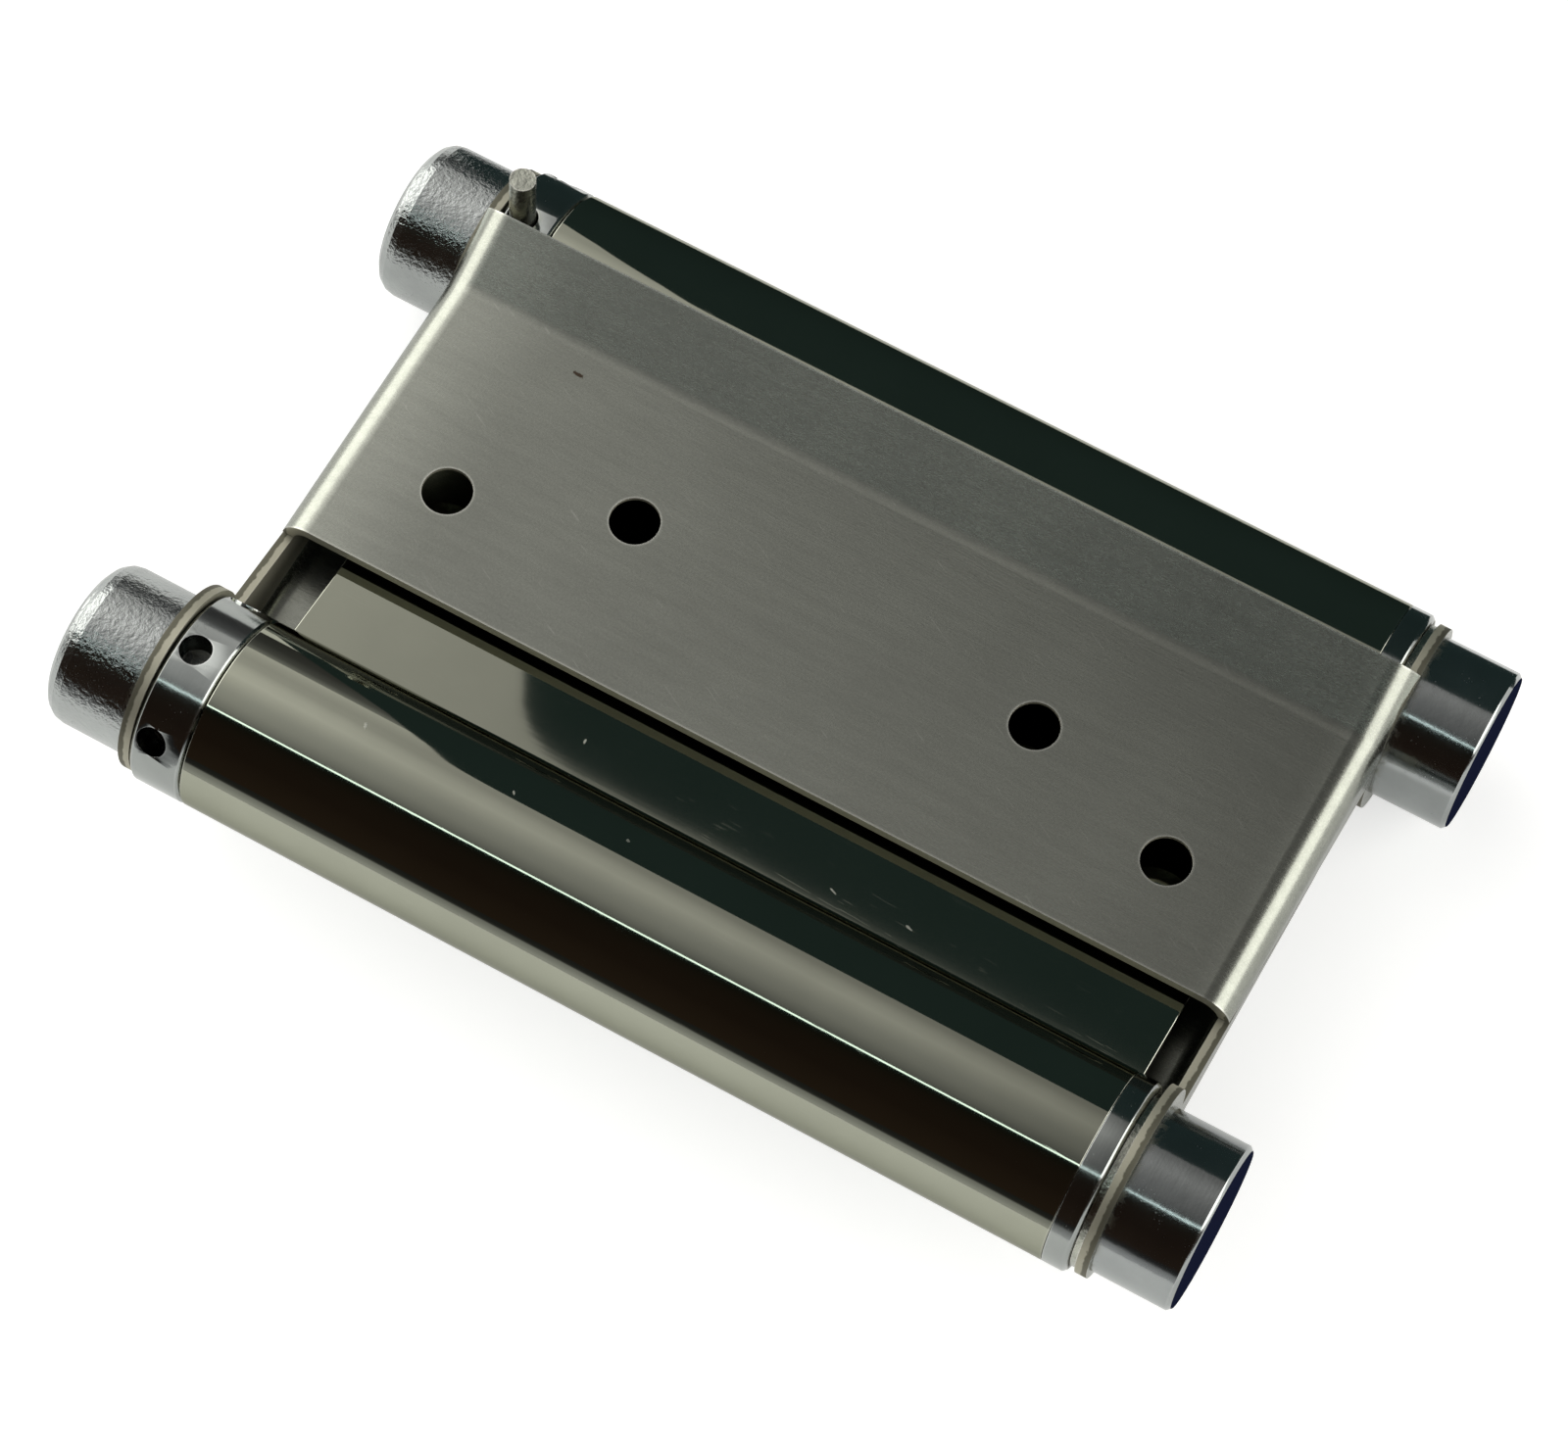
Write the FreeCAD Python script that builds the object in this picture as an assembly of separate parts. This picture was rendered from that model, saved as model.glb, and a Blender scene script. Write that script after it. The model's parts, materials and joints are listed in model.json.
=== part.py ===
import FreeCAD, Part
import os
from math import acos, asin, atan2, cos, degrees, hypot, pi, radians, sin, sqrt, tan

# A closed double action spring hinge for a swinging cafe door. Lengths are in millimetres, angles in degrees.
# X runs along the barrels, Y from the front barrel to the rear one, and Z out of the top leaf's plate.
# The two leaf plates lie parallel, and the web between them slopes from the front barrel down to the rear one.

# Driving dimensions: sheet and barrels
sheet = 1.0
axis_spacing = 50.0
barrel_radius = 8.0
barrel_length = 75.5
root_radius = 0.8
seam_gap = 0.3

# Driving dimensions: leaves, each measured from the axis of its own barrel
leaf_reach = 32.9
plate_height = 7.5
strip_slope = 22.0
strip_clearance = 0.75
strip_end = 1.2
crease_radius = 3.0
bend_radius = 2.6
ear_offset = 0.4
leaf_web_gap = 0.8
flange_gap = 0.3

# Driving dimensions: screw holes, measured from the leaf's front edge and from its middle
screw_hole_radius = 2.075
screw_hole_land = 0.35
outer_screw_spacing = 64.5
outer_screw_inset = 8.7
inner_screw_spacing = 36.0
inner_screw_inset = 13.8

# Driving dimensions: collars, tension holes and stop pins
collar_chamfer = 0.3
hub_length = 7.0
adjusting_width = 4.55
anchor_width = 2.0
tension_holes = 6
tension_hole_radius = 1.3
tension_hole_land = 0.4
tension_hole_inset = 1.7
stop_pin_reach = 13.6

# Driving dimensions: caps, spindles and washers
left_cap_radius = 6.85
left_cap_length = 7.65
left_cap_rim = 1.75
left_cap_rim_steps = 4
right_cap_radius = 6.95
right_cap_length = 6.7
right_cap_chamfer = 0.35
spindle_radius = 2.5
spindle_engagement = 5.0
right_washer_radius = 7.3
right_washer_thickness = 0.5
left_washer_radius = 5.0
left_washer_thickness = 0.5

# Driving dimensions: springs of square wire, drawn with flat sides, this many to a turn
wire = 2.4
spring_turns = 5
spring_sides = 12
tang_length = 3.0

# Fits
running_clearance = 0.05
press_clearance = 0.02
pin_clearance = 0.2
collar_tube_gap = 0.1
collar_ear_gap = 0.15
tang_clearance = 0.1
spring_tube_gap = 0.1

# Places along the barrels, from the middle of the barrels out to the collars, washers, ears and caps
barrel_left = -barrel_length / 2
barrel_right = barrel_length / 2
collar_inner_face = barrel_left - collar_tube_gap
collar_outer_face = collar_inner_face - adjusting_width
tension_hole_x = collar_outer_face + tension_hole_inset
adjusting_hub_end = collar_inner_face + hub_length
anchor_outer_face = barrel_right + anchor_width
anchor_hub_end = barrel_right - hub_length
left_ear_inner = collar_outer_face - collar_ear_gap
right_ear_inner = anchor_outer_face + right_washer_thickness + 2 * running_clearance
leaf_left = left_ear_inner - sheet
leaf_right = right_ear_inner + sheet
leaf_middle = (leaf_left + leaf_right) / 2
hinge_left = leaf_left - left_cap_length
hinge_right = leaf_right + right_cap_length
middle_of_length = (hinge_left + hinge_right) / 2

# The collars and ears are as wide as the barrels. The coil's square tangs clear the barrel's bore at their
# corners. The stop pin fits a tension hole, and the holes end short of the left washer's seat by their land.
collar_radius = barrel_radius
ear_radius = barrel_radius
barrel_bore = barrel_radius - sheet
stop_pin_radius = tension_hole_radius - pin_clearance
tension_hole_foot = left_washer_radius + running_clearance + tension_hole_land
coil_radius = sqrt((barrel_bore - spring_tube_gap) ** 2 - wire**2) - wire / 2

# The small bend at a barrel's root: its centre is this far from the barrel's axis, along the web and above it
root_reach = barrel_radius + root_radius
root_height = sheet / 2 + root_radius
root_distance = sqrt(root_reach**2 - root_height**2)

# Slope of the web, which leaves the stated gap under the plate's front edge
edge_height = plate_height - sheet - leaf_web_gap
edge_direction = atan2(edge_height, leaf_reach)
web_slope = degrees(edge_direction - asin(sheet / 2 / hypot(edge_height, leaf_reach)))

# The rear barrel's axis; the front one is its image, turned half a turn about the middle
rear_y = axis_spacing / 2 * cos(radians(web_slope))
rear_z = -axis_spacing / 2 * sin(radians(web_slope))

# The leaf's profile in (y, z) from its barrel's axis: plate, crease and the strip that clears the barrel
slope = radians(strip_slope)
strip_height = barrel_radius + strip_clearance + sheet
crease_y = (plate_height * cos(slope) - strip_height) / sin(slope)
crease_tangent = crease_radius * tan(slope / 2)
strip_length = (-strip_end - crease_y) / cos(slope)
strip_edge_y = -strip_end + sheet * sin(slope)
strip_edge_z = plate_height + strip_length * sin(slope) - sheet * cos(slope)

# The stop pin leans until its side lies on the lower edge of the strip; the angle is from +Y towards +Z
edge_radius_from_axis = hypot(strip_edge_y, strip_edge_z)
edge_angle = degrees(atan2(strip_edge_z, strip_edge_y))
pin_angle = edge_angle - degrees(asin((stop_pin_radius + running_clearance) / edge_radius_from_axis))

origin = FreeCAD.Vector(0, 0, 0)
along_x = FreeCAD.Vector(1, 0, 0)
along_y = FreeCAD.Vector(0, 1, 0)


def point(x, y, z):
    return FreeCAD.Vector(x, y, z)


def line(a, b):
    return Part.LineSegment(a, b).toShape()


def arc(a, middle, b):
    return Part.Arc(a, middle, b).toShape()


def face(edges):
    return Part.Face(Part.Wire(edges))


def polygon(points):
    return Part.Face(Part.makePolygon(points + points[:1]))


# Round pieces are turned about the barrel's axis from an outline in (x, radius)
def turned(outline):
    profile = polygon([point(x, 0, r) for x, r in outline])
    return profile.revolve(origin, along_x, 360)


def bar(radius, start, end):
    return Part.makeCylinder(radius, end - start, point(start, 0, 0), along_x)


# Web and barrels: one sheet whose two edges are rolled up
def roll_edges(side):
    """The outline of one rolled edge, from the web's upper face round the barrel to its lower face.
    The front barrel has side 1, and side -1 gives the same turned half a turn about the middle."""
    start = asin(root_height / root_reach)
    clear = root_radius + sheet + seam_gap
    end = start - acos((root_reach**2 + barrel_radius**2 - clear**2) / (2 * root_reach * barrel_radius))

    def place(y, z):
        return point(barrel_left, side * (y - axis_spacing / 2), side * z)

    def on_roll(radius, angle):
        return place(radius * cos(angle), radius * sin(angle))

    def on_bend(radius, angle):
        return place(root_distance + radius * cos(angle), root_height + radius * sin(angle))

    root_start = -pi / 2
    root_end = start - pi
    root_middle = (root_start + root_end) / 2
    opposite = (start + end) / 2 + pi
    return [
        arc(on_bend(root_radius, root_start), on_bend(root_radius, root_middle), on_bend(root_radius, root_end)),
        arc(on_roll(barrel_radius, start), on_roll(barrel_radius, opposite), on_roll(barrel_radius, end)),
        line(on_roll(barrel_radius, end), on_roll(barrel_bore, end)),
        arc(on_roll(barrel_bore, end), on_roll(barrel_bore, opposite), on_roll(barrel_bore, start)),
        arc(
            on_bend(root_radius + sheet, root_end),
            on_bend(root_radius + sheet, root_middle),
            on_bend(root_radius + sheet, root_start),
        ),
    ]


def web_barrels():
    front = roll_edges(1)
    rear = roll_edges(-1)
    web_y = root_distance - axis_spacing / 2
    lower = line(point(barrel_left, web_y, -sheet / 2), point(barrel_left, -web_y, -sheet / 2))
    upper = line(point(barrel_left, -web_y, sheet / 2), point(barrel_left, web_y, sheet / 2))
    body = face(front + [lower] + rear + [upper]).extrude(along_x * barrel_length)
    body.rotate(origin, along_x, -web_slope)
    return body


# Leaf: sheet folded to a channel along its length, bent up at the crease, and trimmed to its flanges and ears
def channel_section():
    """The channel across the leaf at its front edge, with its outside on the plate's height."""
    top = plate_height
    inner = bend_radius - sheet
    low = 0.0
    knee = top - bend_radius
    diagonal = sin(radians(45))

    def at(x, z):
        return point(x, -leaf_reach, z)

    left = leaf_left + bend_radius
    right = leaf_right - bend_radius
    return face(
        [
            line(at(leaf_left, low), at(leaf_left, knee)),
            arc(
                at(leaf_left, knee),
                at(left - bend_radius * diagonal, knee + bend_radius * diagonal),
                at(left, top),
            ),
            line(at(left, top), at(right, top)),
            arc(
                at(right, top),
                at(right + bend_radius * diagonal, knee + bend_radius * diagonal),
                at(leaf_right, knee),
            ),
            line(at(leaf_right, knee), at(leaf_right, low)),
            line(at(leaf_right, low), at(right_ear_inner, low)),
            line(at(right_ear_inner, low), at(right_ear_inner, knee)),
            arc(
                at(right_ear_inner, knee),
                at(right + inner * diagonal, knee + inner * diagonal),
                at(right, top - sheet),
            ),
            line(at(right, top - sheet), at(left, top - sheet)),
            arc(
                at(left, top - sheet),
                at(left - inner * diagonal, knee + inner * diagonal),
                at(left_ear_inner, knee),
            ),
            line(at(left_ear_inner, knee), at(left_ear_inner, low)),
            line(at(left_ear_inner, low), at(leaf_left, low)),
        ]
    )


def folded_channel():
    """The channel led along the plate, round the crease and up the strip."""
    plate_run = crease_y - crease_tangent + leaf_reach
    section = channel_section()
    plate = section.extrude(along_y * plate_run)
    section.translate(along_y * plate_run)
    crease_axis = point(0, crease_y - crease_tangent, plate_height + crease_radius)
    crease = section.revolve(crease_axis, along_x, strip_slope)
    section.rotate(crease_axis, along_x, strip_slope)
    strip = section.extrude(point(0, cos(slope), sin(slope)) * (strip_length - crease_tangent))
    return plate.fuse([crease, strip])


def below_flanges():
    """Everything under the flanges' lower edge, which runs along the middle plane of the web."""
    depth = leaf_reach + axis_spacing
    width = leaf_right - leaf_left + 2 * sheet
    block = Part.makeBox(width, 2 * depth, depth, point(leaf_left - sheet, -depth, -depth))
    block.translate(point(0, 0, flange_gap / 2))
    block.rotate(origin, along_x, -web_slope)
    return block


def screw_hole(x, inset):
    """A hole for a countersunk screw whose head sits on the inner side, between leaf and web."""
    y = inset - leaf_reach
    countersink = sheet - screw_hole_land
    inner_face = plate_height - sheet
    drill = Part.makeCylinder(screw_hole_radius, 2 * sheet, point(x, y, inner_face))
    mouth = screw_hole_radius + countersink
    cone = Part.makeCone(mouth, screw_hole_radius, countersink, point(x, y, inner_face))
    return drill.fuse(cone)


def leaf():
    ears = [
        bar(ear_radius, leaf_left, left_ear_inner),
        bar(ear_radius, right_ear_inner, leaf_right),
    ]
    for ear in ears:
        ear.translate(along_y * -ear_offset)
    body = folded_channel().cut(below_flanges()).fuse(ears)
    cuts = [bar(spindle_radius + press_clearance, leaf_left - sheet, leaf_right + sheet)]
    for spacing, inset in (
        (outer_screw_spacing, outer_screw_inset),
        (inner_screw_spacing, inner_screw_inset),
    ):
        for side in (-1, 1):
            cuts.append(screw_hole(leaf_middle + side * spacing / 2, inset))
    return body.cut(cuts).removeSplitter()


# Adjusting collar, turned by a rod in one of its tension holes
def radial_place(shape, angle):
    """Moves a piece made along +Z from the axis, so that it points at the angle from +Y towards +Z."""
    shape.rotate(origin, along_x, angle - 90)
    return shape


def tang_slot(start, end, side):
    """The slot in a hub's end for a spring's tang, as wide as the wire with its clearance."""
    width = wire + 2 * tang_clearance
    y = -tang_clearance - (wire if side < 0 else 0)
    return Part.makeBox(end - start, width, barrel_radius, point(start, y, -barrel_radius - spindle_radius))


def adjusting_collar():
    recess = left_washer_thickness - collar_ear_gap + 2 * running_clearance
    bore = spindle_radius + running_clearance
    hub = barrel_bore - running_clearance
    seat = left_washer_radius + running_clearance
    body = turned(
        [
            (collar_outer_face + recess, bore),
            (collar_outer_face + recess, seat),
            (collar_outer_face, seat),
            (collar_outer_face, collar_radius - collar_chamfer),
            (collar_outer_face + collar_chamfer, collar_radius),
            (collar_inner_face - collar_chamfer, collar_radius),
            (collar_inner_face, collar_radius - collar_chamfer),
            (collar_inner_face, hub),
            (adjusting_hub_end, hub),
            (adjusting_hub_end, bore),
        ]
    )
    cuts = [tang_slot(adjusting_hub_end - tang_length - tang_clearance, adjusting_hub_end + wire, -1)]
    for index in range(tension_holes):
        hole = Part.makeCylinder(
            tension_hole_radius,
            collar_radius - tension_hole_foot + wire,
            point(tension_hole_x, 0, tension_hole_foot),
        )
        cuts.append(radial_place(hole, pin_angle + index * 360 / tension_holes))
    return body.cut(cuts)


def stop_pin():
    foot = tension_hole_foot + pin_clearance
    pin = Part.makeCylinder(stop_pin_radius, stop_pin_reach - foot, point(tension_hole_x, 0, foot))
    return radial_place(pin, pin_angle)


# Anchor collar, pressed in the barrel's other end to hold the spring
def anchor_collar():
    bore = spindle_radius + running_clearance
    hub = barrel_bore - press_clearance
    body = turned(
        [
            (anchor_hub_end, bore),
            (anchor_hub_end, hub),
            (barrel_right, hub),
            (barrel_right, collar_radius),
            (anchor_outer_face - collar_chamfer, collar_radius),
            (anchor_outer_face, collar_radius - collar_chamfer),
            (anchor_outer_face, bore),
        ]
    )
    return body.cut(tang_slot(anchor_hub_end - wire, anchor_hub_end + tang_length + tang_clearance, 1))


# Torsion spring: a coil of square wire with a straight tang at each end
def coil(height):
    """A coil that climbs along Z, with a square section at each corner of its turns and flat faces between them."""
    inner = coil_radius - wire / 2
    outer = coil_radius + wire / 2
    steps = spring_turns * spring_sides
    sections = []
    for step in range(steps + 1):
        angle = 2 * pi * step / spring_sides
        low = height * step / steps - wire / 2
        sections.append(
            [
                point(radius * cos(angle), radius * sin(angle), z)
                for radius, z in ((inner, low), (outer, low), (outer, low + wire), (inner, low + wire))
            ]
        )
    faces = [polygon(sections[0]), polygon(sections[-1])]
    for before, after in zip(sections, sections[1:]):
        for corner in range(4):
            following = (corner + 1) % 4
            faces.append(polygon([before[corner], before[following], after[following]]))
            faces.append(polygon([before[corner], after[following], after[corner]]))
    return Part.Solid(Part.Shell(faces)).removeSplitter()


def spring():
    start = adjusting_hub_end + running_clearance + wire / 2
    end = anchor_hub_end - running_clearance - wire / 2
    height = end - start
    inner = coil_radius - wire / 2
    first = Part.makeBox(wire, wire, wire + tang_length, point(inner, -wire, -wire / 2 - tang_length))
    last = Part.makeBox(wire, wire, wire + tang_length, point(inner, 0, height - wire / 2))
    body = coil(height).fuse([first, last])
    body.rotate(origin, along_y, 90)
    body.translate(along_x * start)
    return body


# Spindle, washers and caps, which turn with the leaf
def spindle():
    return bar(
        spindle_radius,
        leaf_left - spindle_engagement + running_clearance,
        leaf_right + spindle_engagement - running_clearance,
    )


def washer(radius, start, end):
    bore = spindle_radius + running_clearance
    return turned([(start, bore), (start, radius), (end, radius), (end, bore)])


def left_washer():
    start = left_ear_inner + running_clearance
    return washer(left_washer_radius, start, start + left_washer_thickness)


def right_washer():
    start = anchor_outer_face + running_clearance
    return washer(right_washer_radius, start, start + right_washer_thickness)


def left_cap():
    """A cap whose outer rim is rounded in a few conical steps."""
    bore = spindle_radius + press_clearance
    floor = leaf_left - spindle_engagement
    outline = [(floor, 0), (floor, bore), (leaf_left, bore), (leaf_left, left_cap_radius)]
    for step in range(left_cap_rim_steps + 1):
        angle = pi / 2 * step / left_cap_rim_steps
        back = left_cap_rim * (1 - sin(angle))
        drop = left_cap_rim * (1 - cos(angle))
        outline.append((hinge_left + back, left_cap_radius - drop))
    outline.append((hinge_left, 0))
    return turned(outline)


def right_cap():
    bore = spindle_radius + press_clearance
    floor = leaf_right + spindle_engagement
    return turned(
        [
            (floor, 0),
            (floor, bore),
            (leaf_right, bore),
            (leaf_right, right_cap_radius),
            (hinge_right - right_cap_chamfer, right_cap_radius),
            (hinge_right, right_cap_radius - right_cap_chamfer),
            (hinge_right, 0),
        ]
    )


# Placing and writing
def on_rear(shape):
    shape.translate(point(0, rear_y, rear_z))
    return shape


def on_front(shape):
    placed = on_rear(shape)
    placed.rotate(origin, along_x, 180)
    return placed


def write(name, shape):
    """Writes one piece, with the origin at the middle of the hinge's whole length."""
    shape.translate(point(-middle_of_length, 0, 0))
    shape.exportStep("parts/" + name + ".step")
    box = shape.BoundBox
    print(f"{name:24s} valid {shape.isValid()} solids {len(shape.Solids)} volume {shape.Volume:9.2f}", end=" ")
    print(f"x {box.XMin:.2f} {box.XMax:.2f} y {box.YMin:.2f} {box.YMax:.2f} z {box.ZMin:.2f} {box.ZMax:.2f}")


barrel_pieces = {
    "adjusting_collar": adjusting_collar,
    "stop_pin": stop_pin,
    "anchor_collar": anchor_collar,
    "spring": spring,
    "spindle": spindle,
    "left_washer": left_washer,
    "right_washer": right_washer,
    "left_cap": left_cap,
    "right_cap": right_cap,
}

os.makedirs("parts", exist_ok=True)
write("web_barrels", web_barrels())
write("leaf_top", on_rear(leaf()))
write("leaf_bottom", on_front(leaf()))
for piece, make in barrel_pieces.items():
    write("rear_" + piece, on_rear(make()))
    write("front_" + piece, on_front(make()))

print(f"web slope {web_slope:.3f} deg, rear axis y {rear_y:.4f} z {rear_z:.4f}, x shift {-middle_of_length:.4f}")
print(f"stop pin angle {pin_angle:.4f} deg from +Y, pin x {tension_hole_x - middle_of_length:.4f}")
print(f"crease {crease_y:.3f} from the axis, strip length {strip_length:.3f}")
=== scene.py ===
# %% [markdown]
# # A double action spring hinge, closed on the bench
#
# The hinge has two folded leaves of satin stainless sheet. Between them is a mirror-polished web, whose two
# edges are rolled into barrels that hold the torsion springs. Each barrel ends in a tension collar with
# holes on one side, a plain collar on the other, and a chromed cap at both ends. Every solid comes from
# the construction model, so this lesson is about finishes and light: how to make sheet steel look brushed,
# polished or plated, and how a mirror is lit by what stands around it.

# %% Load the frame
import json
from math import radians, tan

import bmesh
import bpy
from mathutils import Matrix, Vector

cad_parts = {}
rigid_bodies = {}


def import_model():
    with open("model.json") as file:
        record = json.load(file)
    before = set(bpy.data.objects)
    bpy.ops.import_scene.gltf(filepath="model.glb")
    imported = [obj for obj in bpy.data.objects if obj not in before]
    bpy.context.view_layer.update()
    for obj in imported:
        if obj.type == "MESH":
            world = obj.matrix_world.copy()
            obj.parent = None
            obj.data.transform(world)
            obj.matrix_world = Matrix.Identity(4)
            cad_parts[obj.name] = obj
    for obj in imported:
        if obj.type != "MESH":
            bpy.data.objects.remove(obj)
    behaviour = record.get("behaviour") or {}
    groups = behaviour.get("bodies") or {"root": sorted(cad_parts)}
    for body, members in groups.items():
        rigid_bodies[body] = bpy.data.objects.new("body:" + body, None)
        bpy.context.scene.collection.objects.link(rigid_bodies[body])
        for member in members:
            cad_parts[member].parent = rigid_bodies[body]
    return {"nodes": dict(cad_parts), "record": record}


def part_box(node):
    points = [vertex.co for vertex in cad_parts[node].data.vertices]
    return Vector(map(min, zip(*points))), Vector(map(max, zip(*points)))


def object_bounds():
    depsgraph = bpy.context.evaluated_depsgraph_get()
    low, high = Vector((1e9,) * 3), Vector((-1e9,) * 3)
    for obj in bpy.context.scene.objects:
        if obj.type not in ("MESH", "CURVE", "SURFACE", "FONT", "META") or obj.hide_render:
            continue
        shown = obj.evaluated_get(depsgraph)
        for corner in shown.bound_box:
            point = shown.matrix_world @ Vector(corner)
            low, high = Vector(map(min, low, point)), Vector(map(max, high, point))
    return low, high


for leftover in list(bpy.data.objects):
    bpy.data.objects.remove(leftover)
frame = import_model()
nodes = frame["nodes"]
cad_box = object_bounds()
mm = 0.001

# %% [markdown]
# ## Where the parts are
#
# A few finishes follow the parts' places: the turned rings run round the barrels' axes, and the sheet's edges
# are found from the leaf's width. These numbers are read from the solids, so they stay right when the model
# changes.

# %% Measure the frame
def middle(node):
    low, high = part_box(node)
    return (low + high) / 2


floor_height = cad_box[0].z
rear_axis = middle("rear_spindle")
front_axis = middle("front_spindle")
leaf_low, leaf_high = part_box("leaf_top")
print("rear barrel axis, mm:", round(rear_axis.y / mm, 2), round(rear_axis.z / mm, 2))

# %% [markdown]
# ## Helpers for node trees
#
# A finish is a small tree of nodes. Short helpers keep the cells readable: one adds a node and sets its
# values, one joins two sockets, one does a sum, and one turns a value into a mask with a soft start and
# end. The last two start a node group with named inputs and outputs, and place it in a material, so that
# one effect, such as brushing, serves several finishes with its own values in each.

# %% Node helpers
def add(tree, kind, values=None, **settings):
    made = tree.nodes.new(kind)
    for name, value in settings.items():
        setattr(made, name, value)
    for name, value in (values or {}).items():
        made.inputs[name].default_value = value
    return made


def join(tree, start, end):
    tree.links.new(start, end)


def maths(tree, operation, first, second=None, third=None, clamp=False):
    made = add(tree, "ShaderNodeMath", operation=operation, use_clamp=clamp)
    for index, value in enumerate((first, second, third)):
        if value is None:
            continue
        if isinstance(value, (int, float)):
            made.inputs[index].default_value = value
        else:
            join(tree, value, made.inputs[index])
    return made.outputs[0]


def ramp(tree, value, low, high):
    limits = {"From Min": low, "From Max": high}
    made = add(tree, "ShaderNodeMapRange", limits, interpolation_type="SMOOTHSTEP")
    join(tree, value, made.inputs["Value"])
    return made.outputs["Result"]


# %% Group helpers
vector = "NodeSocketVector"
number = "NodeSocketFloat"


def new_group(name, inputs, outputs):
    group = bpy.data.node_groups.new(name, "ShaderNodeTree")
    for label, kind, value in inputs:
        socket = group.interface.new_socket(name=label, in_out="INPUT", socket_type=kind)
        if value is not None:
            socket.default_value = value
    for label, kind in outputs:
        group.interface.new_socket(name=label, in_out="OUTPUT", socket_type=kind)
    return group, add(group, "NodeGroupInput"), add(group, "NodeGroupOutput")


def place_group(tree, group, **values):
    made = add(tree, "ShaderNodeGroup", node_tree=group)
    for name, value in values.items():
        socket = made.inputs[name.replace("_", " ")]
        if isinstance(value, (int, float, tuple)):
            socket.default_value = value
        else:
            join(tree, value, socket)
    return made


# %% [markdown]
# ## Brushing
#
# Satin stainless sheet is drawn under a belt, which leaves thousands of fine parallel lines. They could
# be painted, but lines that follow the object's own coordinates are sharper and never repeat. A noise
# that is stretched far along the length gives the lines, and a second, coarser one gives the faint
# bands of tone that a belt leaves.

# %% Brushing group
brushing, given, wanted = new_group(
    "Brushing",
    [("Vector", vector, None), ("Lines per mm", number, 6.0), ("Length", number, 40.0)],
    [("Height", number), ("Tone", number)],
)
across = maths(brushing, "MULTIPLY", given.outputs["Lines per mm"], 1000.0)
along = maths(brushing, "DIVIDE", across, given.outputs["Length"])
stretch = add(brushing, "ShaderNodeCombineXYZ")
join(brushing, along, stretch.inputs["X"])
join(brushing, across, stretch.inputs["Y"])
join(brushing, across, stretch.inputs["Z"])
scaled = add(brushing, "ShaderNodeVectorMath", operation="MULTIPLY")
join(brushing, given.outputs["Vector"], scaled.inputs[0])
join(brushing, stretch.outputs[0], scaled.inputs[1])
fine = add(brushing, "ShaderNodeTexNoise", {"Scale": 1.0, "Detail": 3.0, "Roughness": 0.6})
join(brushing, scaled.outputs[0], fine.inputs["Vector"])
broad = add(brushing, "ShaderNodeTexNoise", {"Scale": 0.16, "Detail": 2.0, "Roughness": 0.5})
join(brushing, scaled.outputs[0], broad.inputs["Vector"])
join(brushing, fine.outputs["Fac"], wanted.inputs["Height"])
join(brushing, maths(brushing, "ADD", fine.outputs["Fac"], broad.outputs["Fac"]), wanted.inputs["Tone"])
print("group", brushing.name)

# %% [markdown]
# ## Turning marks
#
# Collars, caps and pins are turned on a lathe before they are plated. The tool leaves rings, so the
# noise reads only the place along the axis and the distance from it, and is the same all the way round.
# Both barrels lie equally far from the middle, so one group with the sign taken away serves both.

# %% Turning group
turning, given, wanted = new_group(
    "Turning marks",
    [
        ("Vector", vector, None),
        ("Rings per mm", number, 8.0),
        ("Axis height", number, 0.0),
        ("Axis depth", number, 0.0),
    ],
    [("Height", number)],
)
split = add(turning, "ShaderNodeSeparateXYZ")
join(turning, given.outputs["Vector"], split.inputs[0])
absolute_y = maths(turning, "ABSOLUTE", split.outputs["Y"])
absolute_z = maths(turning, "ABSOLUTE", split.outputs["Z"])
deep = maths(turning, "POWER", maths(turning, "SUBTRACT", absolute_y, given.outputs["Axis depth"]), 2.0)
high = maths(turning, "POWER", maths(turning, "SUBTRACT", absolute_z, given.outputs["Axis height"]), 2.0)
radius = maths(turning, "SQRT", maths(turning, "ADD", deep, high))
rate = maths(turning, "MULTIPLY", given.outputs["Rings per mm"], 1000.0)
flat = add(turning, "ShaderNodeCombineXYZ")
join(turning, maths(turning, "MULTIPLY", split.outputs["X"], rate), flat.inputs["X"])
join(turning, maths(turning, "MULTIPLY", radius, rate), flat.inputs["Y"])
rings = add(turning, "ShaderNodeTexNoise", {"Scale": 1.0, "Detail": 2.0})
join(turning, flat.outputs[0], rings.inputs["Vector"])
join(turning, rings.outputs["Fac"], wanted.inputs["Height"])
print("group", turning.name)

# %% [markdown]
# ## Stray scratches
#
# Handled steel has a few scratches that cross the grain. Each is a thin ridge of a stretched noise, cut
# off so that only the highest parts stay, and a second noise removes most of them again.

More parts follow.
